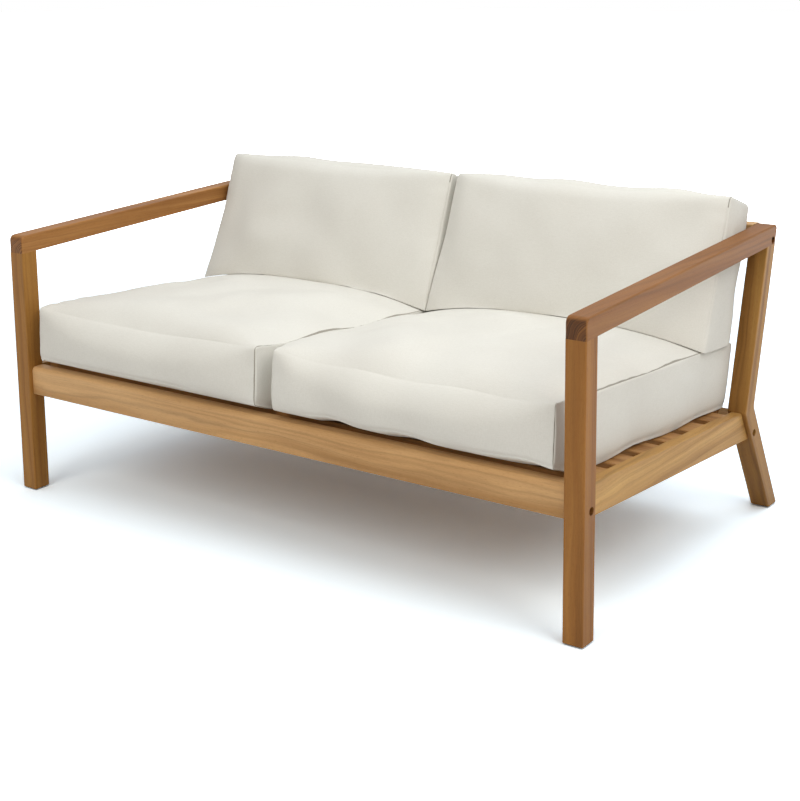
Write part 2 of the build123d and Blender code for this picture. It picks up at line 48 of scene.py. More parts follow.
# Camera: a pinhole with the photograph's angle of view, in pixels of an image 800 by 801
image_height = 801
camera_place = (1.78708, -2.42253, 1.10529)
camera_yaw = 35.971
camera_tilt = 10.44
camera_roll = -0.593
camera_focal_pixels = 1483.6
camera_centre_row = 240.3
sensor_width_mm = 36.0

# Floor: what it reflects, what the camera sees beside that, and how much more of it far away
floor_reach = 30.0
floor_grey = 0.72
floor_gains = (0.56, 0.70, 0.81)
far_floor_gain = 5.0
far_floor_from = 1.9
far_floor_to = 6.0

# Sky and lamps: strength of the sky's light at the horizon and overhead, and what the lamps face
sky_low_strength = 0.33
sky_high_strength = 0.74
lamp_aim = (0, 0, 0.3)

# Slopes of the frame
seat_slope = 3.54
back_lean = 14.2
heel_splay = 30.2
arm_slope = 2.8

# Teak: its own colours, and the tints that multiply them on single pieces
wood_pale = (0.60, 0.375, 0.188)
wood_middle = (0.495, 0.288, 0.128)
wood_dark = (0.345, 0.180, 0.068)
plain_tint = (1.06, 1.06, 1.0)
honey_tint = (0.93, 0.89, 0.60)
slat_tint = (0.80, 0.70, 0.54)
rear_leg_tint = (0.63, 0.53, 0.27)
leg_tints = {"left": (0.62, 0.48, 0.21), "right": (0.57, 0.41, 0.19)}
arm_tints = {"left": (0.68, 0.52, 0.32), "right": (0.48, 0.34, 0.19)}

# Teak: how far the log's heart line lies from a piece's middle, in two directions across the grain
front_leg_heart = (0.07, 0.05)
rear_leg_heart = (0.06, 0.08)
arm_heart = (-0.034, -0.046)
side_rail_heart = (0.05, 0.11)
ledger_heart = (0.09, 0.05)
front_rail_heart = (0.10, -0.06)
back_seat_rail_heart = (-0.12, 0.07)
back_top_rail_heart = (0.11, -0.07)
bearer_heart = (0.1, 0.04)
slat_hearts_across = (0.06, 0.073, 0.086, 0.099)
slat_hearts_up = (-0.05, -0.067, -0.084)

# Teak: noise in streaks along the grain. A piece's seed shifts it by so much along and across.
wander_streaks = {"length": 0.42, "breadth": 0.075, "detail": 3.0, "roughness": 0.50}
fibre_streaks = {"length": 0.06, "breadth": 0.0011, "detail": 3.0, "roughness": 0.60}
pore_streaks = {"length": 0.0085, "breadth": 0.0006, "detail": 2.0, "roughness": 0.50}
patch_streaks = {"length": 0.28, "breadth": 0.07, "detail": 2.0, "roughness": 0.50}
streak_shifts = (0.37, 0.011, 0.007)

# Teak: noise in rings round the heart line. The drift is its change over a metre along the grain, and the
# seed step sets one piece's rings apart from another's.
line_rings = {"breadth": 0.0052, "drift": 0.6, "seed_step": 1.0, "detail": 3.0, "roughness": 0.62}
broad_rings = {"breadth": 0.019, "drift": 1.0, "seed_step": 2.0, "detail": 2.0, "roughness": 0.50}
end_rings = {"breadth": 0.0021, "drift": 1.0, "seed_step": 3.0, "detail": 2.0, "roughness": 0.50}
ring_wander = 0.034

# Teak: where on each noise its tones lie, and how strongly each shows
broad_stops = ((0.30, wood_dark), (0.46, wood_middle), (0.68, wood_pale))
line_stops = ((0.30, 0.66), (0.46, 0.96), (0.62, 1.10))
fibre_stops = ((0.25, (0.80, 0.76, 0.72)), (0.72, (1.07, 1.06, 1.05)))
pore_stops = ((0.30, (0.60, 0.52, 0.45)), (0.42, 1.0))
patch_stops = ((0.3, (0.88, 0.85, 0.82)), (0.7, 1.06))
end_face_stops = ((0.62, 0.0), (0.90, 1.0))
end_ring_stops = ((0.38, (0.16, 0.125, 0.10)), (0.50, (0.40, 0.34, 0.27)), (0.62, (0.66, 0.58, 0.48)))
line_share = 0.75
fibre_share = 0.55
pore_share = 0.50
patch_share = 0.8
end_ring_share = 0.9

# Teak: gloss and relief
wood_roughness = 0.42
fibre_roughness = 0.18
fibre_relief_share = 0.45
pore_relief_share = 0.55
wood_bump = {"strength": 0.3, "distance": 0.0006}

# Plain materials with a fine grain: steel, beech, plastic, painted shade along the gussets' seams, and zip
# tape
steel_colour = (0.11, 0.09, 0.075)
beech_colour = (0.60, 0.43, 0.26)
glide_colour = (0.03, 0.03, 0.03)
# Painted shade: a dark grey band beside the gussets' seams stands for the shadow in the canvas's fold there
painted_seam_shade_colour = (0.36, 0.335, 0.285)
zip_colour = (0.42, 0.41, 0.37)
fine_grain_length = 0.0011
fine_grain_places = (0.3, 0.7)
fine_grain_bump = {"strength": 0.2, "distance": 0.0002}
dull_share = 0.8

# Canvas: lengths of its clouds and of its threads' slubs, along X, Y and Z
cloud_lengths = (0.21, 0.21, 0.21)
warp_lengths = (0.0009, 0.011, 0.0011)
weft_lengths = (0.011, 0.0009, 0.0011)
rise_lengths = (0.0011, 0.0011, 0.010)
thread_detail = 2.0
thread_share = 0.3333
cloud_stops = ((0.3, (0.70, 0.682, 0.628)), (0.7, (0.735, 0.722, 0.668)))
weave_stops = ((0.38, (0.90, 0.895, 0.88)), (0.60, 1.0))
weave_share = 0.75
canvas_roughness = 0.88
canvas_bump = {"strength": 0.3, "distance": 0.0006}

# A cushion is shaped in its own axes. Across goes from gusset to gusset. On a seat cushion the run goes from
# front to rear and the rise goes up. On a back cushion the run goes up and the rise goes from rear to front.

# Seat cushions: the lip is what the underside's front edge is lifted by, where it passes the rail
seat_front_overhang = 0.031
seat_length = 0.655
seat_side_height = 0.131
seat_crown = 0.038
seat_front_puff = 0.016
seat_rear_puff = 0.006
seat_rear_lean_share = 0.17
seat_lip_rise = 0.014
seat_lip_reach = 0.055
under_gap = 0.0015

# Back cushions: the foot's place is along Y and Z
back_cushion_lean = 18.7
back_foot_place = (0.23565, 0.3275)
back_height = 0.323
back_side_thickness = 0.114
back_foot_puff = 0.004
back_top_puff = 0.007
back_rear_puff = 0.007
back_front_puff = 0.022
back_foot_bulge = 0.009
back_foot_flare = 0.006
back_edge_roll = 0.017
back_edge_roll_share = 0.16
back_edge_roll_at_foot_share = 0.3

# Back cushions: how their feet are lifted onto the seat cushions' crowns
foot_gap = 0.0012
foot_lift_share = 0.55
foot_lift_rounds = 3

# Radii of the edges where run and rise are start and low, start and high, end and low, end and high.
# Each edge has one radius beside the gussets and another in the middle.
seat_radii = ((0.010, 0.018), (0.007, 0.082), (0.010, 0.018), (0.010, 0.050))
back_radii = ((0.012, 0.026), (0.014, 0.036), (0.010, 0.020), (0.012, 0.038))

# Both kinds of cushion: exponents and shares that say how their swelling is spread
end_fullness = 2.5
side_fullness = 2.6
end_crown_share = 0.22
end_zone_share = 0.14
end_puff_at_edges_share = 0.25
face_zone_share = 0.45

# Gussets: they puff out, and are drawn in all round and at the seat cushions' front corners
gusset_puff = 0.010
gusset_draws = {"seat": 0.006, "back": 0.003}
gusset_zone_share = 0.25
corner_draw = 0.012
corner_zone_share = 0.11

# Gap kept between a cushion's sides and the legs or the sofa's middle
side_clearance = 0.0008

# Lattice of a cushion's mesh, with lines close to its edges, and how near two places are one
lattice_step = 0.0105
edge_lines = (0.0025, 0.0065, 0.0135)
same_place = 1e-9

# Seams, the painted shade beside them, and zips
seam_depth = 0.0030
# On back cushions the painted seam shade runs only beyond this share of the run, near the top
back_seam_shade_from_share = 0.9
zip_margin_share = 0.1
back_zip_place = 0.045

# Creases: soft waves, whose depth is a share of their length. Turns and phases are radians, rounded.
cushion_seeds = {"left_seat": 11, "left_back": 14, "right_seat": 18, "right_back": 21}
crease_depth_shares = {"seat": 0.017, "back": 0.011}
crease_count = 22
crease_lengths = (0.04, 0.24)
crease_upright_share = 0.35
crease_reach_share = 0.9
crease_bend = 0.02
crease_bend_rate = 9
full_turn = 6.283
phases = (0, 6.28)

# Puckers: short gathers beside the gussets, slanting by radians a metre
pucker_count = 5
pucker_depth = 0.0006
pucker_lengths = (0.022, 0.05)
pucker_slants = (-30, 30)
pucker_reach = 0.018
pucker_start = 0.004
far_gusset_shift = 0.7

# Where a cushion rests on something, or another one on it, its creases fade out
seat_rest_zone = 0.03
back_rest_zone = 0.05
under_back_from_share = 0.60
under_back_zone_share = 0.12
seat_top_from_share = 0.8


# Materials


class Nodes:
    """Short calls that add and join the nodes of one material, or of the world."""

    def __init__(self, owner):
        self.owner = owner
        owner.use_nodes = True
        self.tree = owner.node_tree
        self.tree.nodes.clear()

    def add(self, kind, **values):
        node = self.tree.nodes.new(kind)
        for key, value in values.items():
            setattr(node, key, value)
        return node

    def put(self, socket, value):
        """Join a socket to another node's output, or set it to a number or colour."""
        if isinstance(value, bpy.types.NodeSocket):
            self.tree.links.new(value, socket)
        elif isinstance(value, tuple) and len(value) == 3 and socket.type == "RGBA":
            socket.default_value = (*value, 1.0)
        else:
            socket.default_value = value

    def math(self, operation, first, second=0.0):
        node = self.add("ShaderNodeMath", operation=operation)
        self.put(node.inputs[0], first)
        self.put(node.inputs[1], second)
        return node.outputs[0]

    def distance(self, x, y):
        """How far a point lies from the origin of two axes."""
        square = self.math("ADD", self.math("MULTIPLY", x, x), self.math("MULTIPLY", y, y))
        return self.math("SQRT", square)

    def between(self, value, value_ends, result_ends, easing="LINEAR"):
        """A value between two ends, carried over to between two others."""
        node = self.add("ShaderNodeMapRange", interpolation_type=easing)
        self.put(node.inputs["Value"], value)
        node.inputs["From Min"].default_value, node.inputs["From Max"].default_value = value_ends
        node.inputs["To Min"].default_value, node.inputs["To Max"].default_value = result_ends
        return node.outputs["Result"]

    def mix(self, share, first, second, blend="MIX"):
        """Two colours mixed by a share. A Mix node has its colours as inputs 6 and 7 and as output 2."""
        node = self.add("ShaderNodeMix", data_type="RGBA", blend_type=blend)
        for i, value in ((0, share), (6, first), (7, second)):
            self.put(node.inputs[i], value)
        return node.outputs[2]

    def ramp(self, source, stops):
        """Colours or greys along a source's values."""
        node = self.add("ShaderNodeValToRGB")
        elements = node.color_ramp.elements
        while len(elements) < len(stops):
            elements.new(0.5)
        for element, (place, colour) in zip(elements, stops):
            element.position = place
            shade = colour if isinstance(colour, tuple) else (colour, colour, colour)
            element.color = (*shade, 1.0)
        self.put(node.inputs[0], source)
        return node.outputs[0]

    def place(self):
        """Where a point is at rest, because every piece has the scene's origin then."""
        return self.add("ShaderNodeTexCoord").outputs["Object"]

    def parts_of(self, vector):
        node = self.add("ShaderNodeSeparateXYZ")
        self.put(node.inputs[0], vector)
        return node.outputs

    def vector(self, x, y, z):
        node = self.add("ShaderNodeCombineXYZ")
        for socket, value in zip(node.inputs, (x, y, z)):
            self.put(socket, value)
        return node.outputs[0]

    def stretched(self, vector, lengths, turn=(0, 0, 0), shift=(0, 0, 0)):
        """A vector shifted, turned and then measured in the given lengths along its axes."""
        node = self.add("ShaderNodeMapping", vector_type="TEXTURE")
        self.put(node.inputs[0], vector)
        node.inputs["Location"].default_value = shift
        node.inputs["Rotation"].default_value = [radians(angle) for angle in turn]
        node.inputs["Scale"].default_value = lengths
        return node.outputs[0]

    def noise(self, vector, detail=3.0, roughness=0.55):
        node = self.add("ShaderNodeTexNoise")
        self.put(node.inputs["Vector"], vector)
        node.inputs["Scale"].default_value = 1.0
        node.inputs["Detail"].default_value = detail
        node.inputs["Roughness"].default_value = roughness
        return node.outputs["Fac"]

    def bump(self, height, strength, distance):
        node = self.add("ShaderNodeBump")
        node.inputs["Strength"].default_value = strength
        node.inputs["Distance"].default_value = distance
        self.put(node.inputs["Height"], height)
        return node.outputs[0]

    def seen_directly(self):
        """1 for rays from the camera or off something glossy, and 0 for those that light the object."""
        path = self.add("ShaderNodeLightPath")
        return self.math("MAXIMUM", path.outputs["Is Camera Ray"], path.outputs["Is Glossy Ray"])

    def end_in(self, kind, shader):
        """Join a shader to the last node, and give back what the nodes belong to."""
        self.put(self.add(kind).inputs[0], shader)
        return self.owner

    def surface(self, colour, roughness, normal, **values):
        shader = self.add("ShaderNodeBsdfPrincipled")
        self.put(shader.inputs["Base Color"], colour)
        self.put(shader.inputs["Roughness"], roughness)
        self.put(shader.inputs["Normal"], normal)
        for key, value in values.items():
            shader.inputs[key.replace("_", " ")].default_value = value
        return self.end_in("ShaderNodeOutputMaterial", shader.outputs[0])


def straightened(n, place):
    """Places in a bent rear leg as if it were straight, so that its grain follows the bend."""
    x, y, z = n.parts_of(place)
    over_knee = n.math("SUBTRACT", z, knee_height)
    behind_top = n.math("MULTIPLY", over_knee, np.tan(radians(back_lean)))
    behind_foot = n.math("MULTIPLY", over_knee, -np.tan(radians(heel_splay)))
    return n.vector(x, n.math("SUBTRACT", y, n.math("MAXIMUM", behind_top, behind_foot)), z)


def teak(node, grain_axis, tilt, seed, tint, heart, bent=False):
    """Oiled teak. Growth rings run round a far heart line, so long faces show streaks and ends show arcs."""
    n = Nodes(bpy.data.materials.new(f"teak_{node}"))
    low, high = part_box(node)
    middle = (low + high) / 2
    place = n.place()
    if bent:
        place = straightened(n, place)
        middle.y = 0.0
    turn = {"x": (0, 0, 0), "y": (tilt, 0, 90), "z": (0, 90, 0)}[grain_axis]
    shift = [seed * step for step in streak_shifts]
    along = n.stretched(place, (1.0, 1.0, 1.0), turn, shift=middle)

    def in_streaks(length, breadth, detail, roughness):
        return n.noise(n.stretched(along, (length, breadth, breadth), shift=shift), detail, roughness)

    grain, across, up = n.parts_of(along)
    wave = n.math("MULTIPLY", n.math("SUBTRACT", in_streaks(**wander_streaks), 0.5), ring_wander)
    from_heart = n.distance(n.math("SUBTRACT", across, heart[0]), n.math("SUBTRACT", up, heart[1]))
    ring = n.math("ADD", from_heart, wave)

    def in_rings(breadth, drift, seed_step, detail, roughness):
        rings = n.vector(ring, n.math("MULTIPLY", grain, drift), seed * seed_step)
        return n.noise(n.stretched(rings, (breadth, 1.0, 1.0)), detail, roughness)

    fibres = in_streaks(**fibre_streaks)
    pores = in_streaks(**pore_streaks)
    toned = n.ramp(in_rings(**broad_rings), broad_stops)
    for share, pattern, stops in (
        (line_share, in_rings(**line_rings), line_stops),
        (fibre_share, fibres, fibre_stops),
        (pore_share, pores, pore_stops),
        (patch_share, in_streaks(**patch_streaks), patch_stops),
    ):
        toned = n.mix(share, toned, n.ramp(pattern, stops), "MULTIPLY")
    normal = n.parts_of(n.add("ShaderNodeTexCoord").outputs["Normal"])["xyz".index(grain_axis)]
    end_face = n.ramp(n.math("ABSOLUTE", normal), end_face_stops)
    end_tone = n.mix(end_ring_share, toned, n.ramp(in_rings(**end_rings), end_ring_stops), "MULTIPLY")
    colour = n.mix(1.0, n.mix(end_face, toned, end_tone), tint, "MULTIPLY")
    rough = n.math("ADD", n.math("MULTIPLY", fibres, fibre_roughness), wood_roughness)
    fibre_relief = n.math("MULTIPLY", fibres, fibre_relief_share)
    relief = n.math("ADD", fibre_relief, n.math("MULTIPLY", pores, pore_relief_share))
    return n.surface(colour, rough, n.bump(relief, **wood_bump), Specular_IOR_Level=0.2)


def fine_grain(name, colour, rough, metal=0.0):
    """A plain material with a little grain in its tone and surface."""
    n = Nodes(bpy.data.materials.new(name))
    grain = n.noise(n.stretched(n.place(), (fine_grain_length, fine_grain_length, fine_grain_length)))
    dull = tuple(dull_share * value for value in colour)
    tone = n.ramp(grain, tuple(zip(fine_grain_places, (dull, colour))))
    return n.surface(tone, rough, n.bump(grain, **fine_grain_bump), Metallic=metal)


def canvas(name):
    """Plain-woven outdoor canvas in off-white, with slubby threads both ways."""
    n = Nodes(bpy.data.materials.new(name))
    place = n.place()
    clouds = n.noise(n.stretched(place, cloud_lengths))
    threads = n.noise(n.stretched(place, warp_lengths), thread_detail)
    for lengths in (weft_lengths, rise_lengths):
        threads = n.math("ADD", threads, n.noise(n.stretched(place, lengths), thread_detail))
    weave = n.math("MULTIPLY", threads, thread_share)
    colour = n.mix(weave_share, n.ramp(clouds, cloud_stops), n.ramp(weave, weave_stops), "MULTIPLY")
    normal = n.bump(weave, **canvas_bump)
    return n.surface(colour, canvas_roughness, normal, Specular_IOR_Level=0.22, Sheen_Weight=0.1)


def give(node, material):
    """Put one material on every slot of a CAD node."""
    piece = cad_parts[node]
    if not piece.material_slots:
        piece.data.materials.append(material)
    for slot in piece.material_slots:
        slot.material = material


knee_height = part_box("back_seat_rail")[1].z
timbers = []
for side in ("left", "right"):
    timbers += [
        (f"front_{side}_leg", "z", 0, leg_tints[side], front_leg_heart),
        (f"rear_{side}_leg", "z", 0, rear_leg_tint, rear_leg_heart),
        (f"{side}_arm", "y", arm_slope, arm_tints[side], arm_heart),
        (f"{side}_side_rail", "y", -seat_slope, honey_tint, side_rail_heart),
        (f"{side}_slat_ledger", "y", -seat_slope, slat_tint, ledger_heart),
    ]
timbers += [
    ("front_rail", "x", 0, plain_tint, front_rail_heart),
    ("back_seat_rail", "x", 0, plain_tint, back_seat_rail_heart),
    ("back_top_rail", "x", 0, plain_tint, back_top_rail_heart),
    ("centre_bearer", "y", -seat_slope, slat_tint, bearer_heart),
]
for seed, (node, axis, tilt, tint, heart) in enumerate(timbers, start=1):
    give(node, teak(node, axis, tilt, seed, tint, heart, bent=node.startswith("rear")))
slat_names = sorted(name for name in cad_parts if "_slat_" in name and "ledger" not in name)
for i, node in enumerate(slat_names):
    axis = "x" if node.startswith("seat") else "z"
    heart = (slat_hearts_across[i % len(slat_hearts_across)], slat_hearts_up[i % len(slat_hearts_up)])
    give(node, teak(node, axis, 0, len(timbers) + i, slat_tint, heart))

steel = fine_grain("dark_steel", steel_colour, rough=0.45, metal=0.85)
for node in ("frame_bolts", "bar_nuts", "slat_screws", "ledger_screws"):
    give(node, steel)
beech = fine_grain("tenon_wood", beech_colour, rough=0.6)
for node in ("cross_rail_tenons", "arm_tenons", "rear_arm_tenons", "side_rail_tenons", "bearer_tenons"):
    give(node, beech)
give("foot_glides", fine_grain("glide_plastic", glide_colour, rough=0.5))

cushion_canvas = canvas("cushion_canvas")
# Painted shade: a dark band for the shadow in the fold where the canvas meets a gusset
seam_shade = fine_grain("seam_shade", painted_seam_shade_colour, rough=0.9)
zip_tape = fine_grain("zip_tape", zip_colour, rough=0.6)


# Cushions


def smooth(share):
    """Ease from 0 to 1."""
    share = np.clip(share, 0, 1)
    return share * share * (3 - 2 * share)


def near(distance, zone):
    """1 at no distance, easing to 0 at the zone's end."""
    return smooth(1 - distance / zone)


def lattice_stops(length):
    """Places of lattice lines from 0 to length: close beside the ends, then evenly spaced."""
    margin = edge_lines[-1]
    inner = np.linspace(margin, length - margin, max(2, round((length - 2 * margin) / lattice_step) + 1))
    low = [0.0, *edge_lines[:-1]]
    return np.concatenate([low, inner, [length - value for value in reversed(low)]])


def box_lattice(sizes):
    """Points on a box's surface where the lattice lines meet, and its quads, all facing outwards."""
    stops = [lattice_stops(length) for length in sizes]
    index = {}
    points = []
    quads = []

    def corner(*key):
        if key not in index:
            index[key] = len(points)
            points.append([places[i] for places, i in zip(stops, key)])
        return index[key]

    last = [len(places) - 1 for places in stops]
    for axis in range(3):
        a, b = (axis + 1) % 3, (axis + 2) % 3
        for end in (0, last[axis]):
            for i in range(last[a]):
                for j in range(last[b]):
                    quad = []
                    for di, dj in ((0, 0), (1, 0), (1, 1), (0, 1)):
                        key = [0, 0, 0]
                        key[axis] = end
                        key[a] = i + di
                        key[b] = j + dj
                        quad.append(corner(*key))
                    quads.append(quad if end else quad[::-1])
    return np.array(points), quads


def creases(points, sizes, depth_share, seed):
    """Soft folds and dents over a cushion, from a few seeded waves whose size falls with their length."""
    random = np.random.RandomState(seed)
    total = np.zeros(len(points))
    for _ in range(crease_count):
        length = random.uniform(*crease_lengths)
        direction = random.normal(size=3)
        direction[2] *= crease_upright_share
        direction /= np.linalg.norm(direction)
        bend_waves = points @ random.normal(size=3) * crease_bend_rate
        bend = crease_bend * np.sin(bend_waves + random.uniform(*phases))
        wave = np.sin((points @ direction + bend) * full_turn / length + random.uniform(*phases))
        place = random.uniform(0, 1, 3) * np.array(sizes)
        reach = length * crease_reach_share
        fading = np.exp(-np.sum((points - place) ** 2, axis=1) / (2 * reach**2))
        total += wave * fading * length * depth_share
    return total


def puckers(points, sizes, seed):
    """Short gathers that run away from the seams of both gussets and die out."""
    random = np.random.RandomState(seed)
    total = np.zeros(len(points))
    edge = np.minimum(points[:, 0], sizes[0] - points[:, 0])
    line = points[:, 1] + points[:, 2] + np.where(points[:, 0] > sizes[0] / 2, far_gusset_shift, 0)
    for _ in range(pucker_count):
        length = random.uniform(*pucker_lengths)
        phase = random.uniform(*phases)
        total += np.sin(line * full_turn / length + phase + edge * random.uniform(*pucker_slants))
    return total * pucker_depth * np.exp(-edge / pucker_reach) * smooth(edge / pucker_start)


def round_section(run, rise, length, height, radii, fullness):
    """Round a box's long edges, each from its radius beside the gussets to its radius in the middle."""
    for k, (sewn_radius, full_radius) in enumerate(radii):
        at_start = k < 2
        at_low = k % 2 == 0
        radius = sewn_radius + (full_radius - sewn_radius) * fullness
        run_middle = radius if at_start else length - radius
        rise_middle = radius if at_low else height - radius
        run_off = (run_middle - run) if at_start else (run - run_middle)
        rise_off = (rise_middle - rise) if at_low else (rise - rise_middle)
        in_corner = (run_off > 0) & (rise_off > 0)
        reach = np.maximum(np.hypot(run_off, rise_off), same_place)
        ratio = np.maximum(run_off, rise_off) / reach
        run = np.where(in_corner, run_middle + (run - run_middle) * ratio, run)
        rise = np.where(in_corner, rise_middle + (rise - rise_middle) * ratio, rise)
    return run, rise


def side_spread(u):
    """How far a cushion swells across its width, where u is -1 and 1 at the gussets."""
    return 1 - np.abs(u) ** side_fullness


def end_spread(v):
    """How far a cushion swells along its run, where v is 0 and 1 at its ends."""
    return 1 - np.abs(2 * v - 1) ** end_fullness


def crown(u, v):
    """How far a cushion's high side swells, with something left at the run's ends."""
    return side_spread(u) * (end_crown_share + (1 - end_crown_share) * end_spread(v))


def sleeve(points, sizes, radii, puffs, kind):
    """Shape box points into a cushion whose panel runs round it like a sleeve between two side gussets."""
    width, length, height = sizes
    start_puff, end_puff, low_puff, high_puff = puffs
    across = points[:, 0] - width / 2
    u = across / (width / 2)
    v = points[:, 1] / length
    w = points[:, 2] / height
    fullness = side_spread(u)
    run, rise = round_section(points[:, 1], points[:, 2], length, height, radii, fullness)
    tall = np.sin(np.pi * np.clip(w, 0, 1))
    on_high = near(1 - w, face_zone_share)
    on_end = fullness * (end_puff_at_edges_share + (1 - end_puff_at_edges_share) * tall)
    run = run - start_puff * near(v, end_zone_share) * on_end
    run = run + end_puff * near(1 - v, end_zone_share) * on_end
    rise = rise + high_puff * on_high * crown(u, v)
    rise = rise - low_puff * near(w, face_zone_share) * fullness * end_spread(v)
    swell = gusset_puff * end_spread(v) ** 0.5 * tall - gusset_draws[kind]
    if kind == "seat":
        swell = swell - corner_draw * near(v, corner_zone_share)
    else:
        roll = np.clip(1 - (1 - np.abs(u)) / back_edge_roll_share, 0, 1) ** 2
        roll_along = back_edge_roll_at_foot_share + (1 - back_edge_roll_at_foot_share) * smooth(v)
        rise = rise - back_edge_roll * roll * on_high * roll_along
        rise = rise + back_foot_bulge * on_high * (1 - v) ** 2
        across = across + np.sign(u) * back_foot_flare * (1 - v) ** 2 * smooth(np.abs(u))
    across = across + np.sign(u) * near(1 - np.abs(u), gusset_zone_share) * swell
    return across, run, rise


def slope_frame(origin, angle):
    """Axes of a sloping plane: across, along and its normal."""
    turn = radians(angle)
    along = np.array((0, np.cos(turn), np.sin(turn)))
    normal = np.array((0, -np.sin(turn), np.cos(turn)))
    return np.array(origin), np.array((1.0, 0, 0)), along, normal


def set_out(plane, across, run, rise):
    """Places in the scene of points given in a plane's axes."""
    origin, x_dir, along, normal = plane
    return origin + np.outer(across, x_dir) + np.outer(run, along) + np.outer(rise, normal)


seat_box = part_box("right_seat_cover")
seat_width = seat_box[1].x - seat_box[0].x
cushion_middle = (seat_box[1].x + seat_box[0].x) / 2
outer_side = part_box("front_right_leg")[0].x - side_clearance
rail_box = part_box("front_rail")


def seat_plane(middle_x):
    """The slats' plane under one seat cushion, from its front edge."""
    rail_edge, _, along, _ = slope_frame((middle_x, rail_box[1].y, rail_box[1].z + under_gap), -seat_slope)
    return slope_frame(rail_edge - seat_front_overhang * along, -seat_slope)


def seat_cushion(middle_x):
    """A seat cushion's points, its quads, the box's points that they were made from, and the box's sizes."""
    sizes = (seat_width, seat_length, seat_side_height)
    points, quads = box_lattice(sizes)
    puffs = (seat_front_puff, seat_rear_puff, 0.0, seat_crown)
    across, run, rise = sleeve(points, sizes, seat_radii, puffs, "seat")
    lip = seat_lip_rise * near(run, seat_lip_reach)
    rise = rise + lip * np.clip(1 - rise / seat_side_height, 0, 1)
    run = run + seat_rear_lean_share * rise * (points[:, 1] / seat_length)
    return set_out(seat_plane(middle_x), across, run, rise), quads, points, sizes


def back_cushion(middle_x):
    """The same for a back cushion, whose foot rests on the seat cushion's crown."""
    sizes = (seat_width, back_height, back_side_thickness)
    points, quads = box_lattice(sizes)
    puffs = (back_foot_puff, back_top_puff, back_rear_puff, back_front_puff)
    across, run, rise = sleeve(points, sizes, back_radii, puffs, "back")
    back_plane = slope_frame((middle_x, *back_foot_place), 90 - back_cushion_lean)
    placed = set_out(back_plane, across, run, rise)
    origin, _, along, normal = seat_plane(middle_x)
    seat_top_length = seat_length + seat_rear_lean_share * seat_side_height
    for _ in range(foot_lift_rounds):
        local = placed - origin
        u = np.clip(local[:, 0] / (seat_width / 2), -1, 1)
        v = np.clip(local @ along / seat_top_length, 0, 1)
        sunk = seat_side_height + seat_crown * crown(u, v) + foot_gap - local @ normal
        lift = np.maximum(sunk, 0) * near(run, back_height * foot_lift_share)
        placed = placed + np.outer(lift, normal)
    return placed, quads, points, sizes


def seam_pull(points, sizes, kind):
    """1 where a seam pulls a point in: round the gussets, and on seat cushions along a low line too."""
    insides = [np.minimum(points[:, axis], sizes[axis] - points[:, axis]) for axis in range(3)]
    on_seam = (insides[0] < same_place) & (np.minimum(insides[1], insides[2]) < same_place)
    if kind == "seat":
        on_seam |= np.abs(points[:, 2] - edge_lines[1]) < same_place
    return np.where(on_seam, 1.0, 0.0)


def cloth_part(corners, sizes, kind):
    """0 for a face of canvas, 1 for the painted shade band beside the gussets' seams, 2 on the zip across
    the rear.
    """
    low = corners.min(axis=0)
    high = corners.max(axis=0)
    width, length, height = sizes
    if low[0] > width * zip_margin_share and high[0] < width * (1 - zip_margin_share):
        if kind == "seat" and low[1] == length and low[2] < height / 2 <= high[2]:
            return 2
        if kind == "back" and high[2] == 0 and low[1] < back_zip_place <= high[1]:
            return 2
    # Faces in the narrow band beside a gusset get the painted seam shade: all round on seat cushions, near
    # the top on back cushions
    beside_gusset = high[0] <= edge_lines[0] or low[0] >= width - edge_lines[0]
    seam_shaded = kind == "seat" or low[1] > length * back_seam_shade_from_share
    return int(beside_gusset and low[0] < high[0] and seam_shaded)


def build_cushion(side, kind):
    """Build one cushion's canvas, creased and sewn, clear of its neighbours and flat where it rests."""
    sign = 1 if side == "right" else -1
    shape = seat_cushion if kind == "seat" else back_cushion
    placed, quads, points, sizes = shape(sign * cushion_middle)
    name = f"{side}_{kind}_cushion_canvas"
    mesh = bpy.data.meshes.new(name)
    mesh.from_pydata(placed.tolist(), [], quads)
    mesh.update()
    normals = np.zeros(len(placed) * 3)
    mesh.vertices.foreach_get("normal", normals)
    seed = cushion_seeds[f"{side}_{kind}"]
    push = creases(points, sizes, crease_depth_shares[kind], seed) + puckers(points, sizes, seed)
    push = push - seam_pull(points, sizes, kind) * seam_depth
    if kind == "seat":
        push = np.where(push > 0, push * smooth(points[:, 2] / seat_rest_zone), push)
        run_share = points[:, 1] / seat_length
        under_back = smooth((run_share - under_back_from_share) / under_back_zone_share)
        push = push * (1 - under_back * (points[:, 2] > seat_side_height * seat_top_from_share))
    else:
        push = np.where(push > 0, push * smooth(points[:, 2] / back_rest_zone), push)
        push = push * smooth(points[:, 1] / back_rest_zone)
    placed = placed + normals.reshape(-1, 3) * push[:, None]
    placed[:, 0] = sign * np.clip(sign * placed[:, 0], side_clearance, outer_side)
    mesh.vertices.foreach_set("co", placed.ravel())
    mesh.polygons.foreach_set("use_smooth", [True] * len(mesh.polygons))
    for material in (cushion_canvas, seam_shade, zip_tape):
        mesh.materials.append(material)
    for face, quad in zip(mesh.polygons, quads):
        face.material_index = cloth_part(points[quad], sizes, kind)
    piece = bpy.data.objects.new(name, mesh)
    bpy.context.scene.collection.objects.link(piece)
    refine = piece.modifiers.new("refine", "SUBSURF")
    refine.levels = 1
    refine.render_levels = 1
    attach(piece, f"{side}_{kind}_cushion")
    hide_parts(*[f"{side}_{kind}_{part}" for part in ("cover", "core", "zip")])


for side in ("left", "right"):
    for kind in ("seat", "back"):
        build_cushion(side, kind)


# Floor

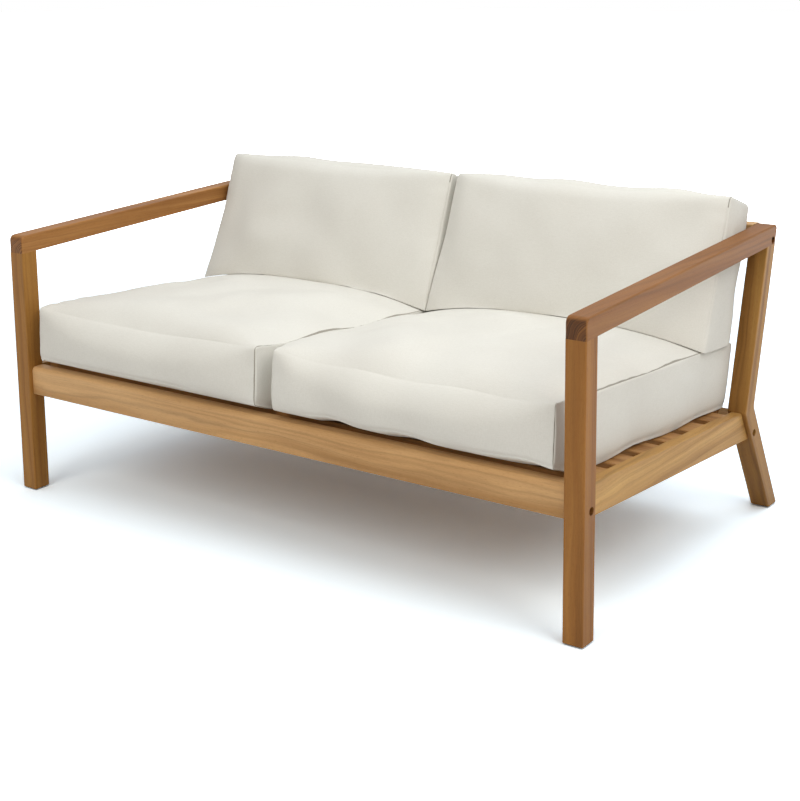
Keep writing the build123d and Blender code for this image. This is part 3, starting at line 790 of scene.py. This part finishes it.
floor_mesh = bpy.data.meshes.new("floor")
floor = bpy.data.objects.new("floor", floor_mesh)
bpy.context.scene.collection.objects.link(floor)
floor_corners = [(x * floor_reach, y * floor_reach, 0) for x, y in ((-1, -1), (1, -1), (1, 1), (-1, 1))]
floor_mesh.from_pydata(floor_corners, [], [(0, 1, 2, 3)])
n = Nodes(bpy.data.materials.new("pale_floor"))
seen = n.seen_directly()
x, y, _ = n.parts_of(n.place())
far_gain = n.between(n.distance(x, y), (far_floor_from, far_floor_to), (0.0, far_floor_gain), "SMOOTHSTEP")
floor_tones = []
for gain in floor_gains:
    more = n.math("MULTIPLY", seen, n.math("ADD", far_gain, gain))
    floor_tones.append(n.math("ADD", more, floor_grey))
pale = n.add("ShaderNodeBsdfDiffuse")
n.put(pale.inputs["Color"], n.vector(*floor_tones))
floor_mesh.materials.append(n.end_in("ShaderNodeOutputMaterial", pale.outputs[0]))

# Sky: dim light on the object, and white where the camera sees it

n = Nodes(bpy.data.worlds.new("studio"))
height_share = n.parts_of(n.add("ShaderNodeTexCoord").outputs["Generated"])["Z"]
strength = n.between(height_share, (0.0, 1.0), (sky_low_strength, sky_high_strength))
mix = n.add("ShaderNodeMixShader")
n.put(mix.inputs[0], n.seen_directly())
for socket, value in zip(mix.inputs[1:], (strength, 1.0)):
    background = n.add("ShaderNodeBackground")
    n.put(background.inputs["Color"], (1.0, 1.0, 1.0))
    n.put(background.inputs["Strength"], value)
    n.put(socket, background.outputs[0])
bpy.context.scene.world = n.end_in("ShaderNodeOutputWorld", mix.outputs[0])


# Lamps


def softbox(name, place, size, power, colour):
    """A square lamp that faces the middle of the seat."""
    data = bpy.data.lights.new(name, "AREA")
    data.energy = power
    data.color = colour
    data.size = size
    lamp = bpy.data.objects.new(name, data)
    lamp.location = place
    lamp.rotation_euler = (Vector(lamp_aim) - Vector(place)).to_track_quat("-Z", "Y").to_euler()
    bpy.context.scene.collection.objects.link(lamp)


softbox("overhead", place=(0.8, 0.6, 3.2), size=2.8, power=45.0, colour=(0.91, 0.96, 1.0))
softbox("side", place=(2.9, -0.8, 2.4), size=1.6, power=32.0, colour=(1.0, 0.97, 0.91))
softbox("front", place=(-0.2, -3.5, 3.0), size=2.0, power=42.0, colour=(1.0, 0.95, 0.86))

# Camera

camera_data = bpy.data.cameras.new("camera")
camera = bpy.data.objects.new("camera", camera_data)
bpy.context.scene.collection.objects.link(camera)
camera_data.sensor_width = sensor_width_mm
camera_data.lens = sensor_width_mm * camera_focal_pixels / image_height
camera_data.shift_y = (camera_centre_row - image_height / 2) / image_height
camera.location = camera_place
camera.rotation_mode = "QUATERNION"
turn = Matrix.Rotation(radians(camera_yaw), 4, "Z")
tilt = Matrix.Rotation(radians(90 - camera_tilt), 4, "X")
roll = Matrix.Rotation(radians(camera_roll), 4, "Z")
camera.rotation_quaternion = (turn @ tilt @ roll).to_quaternion()
bpy.context.scene.camera = camera
bpy.context.scene.view_settings.view_transform = "Standard"
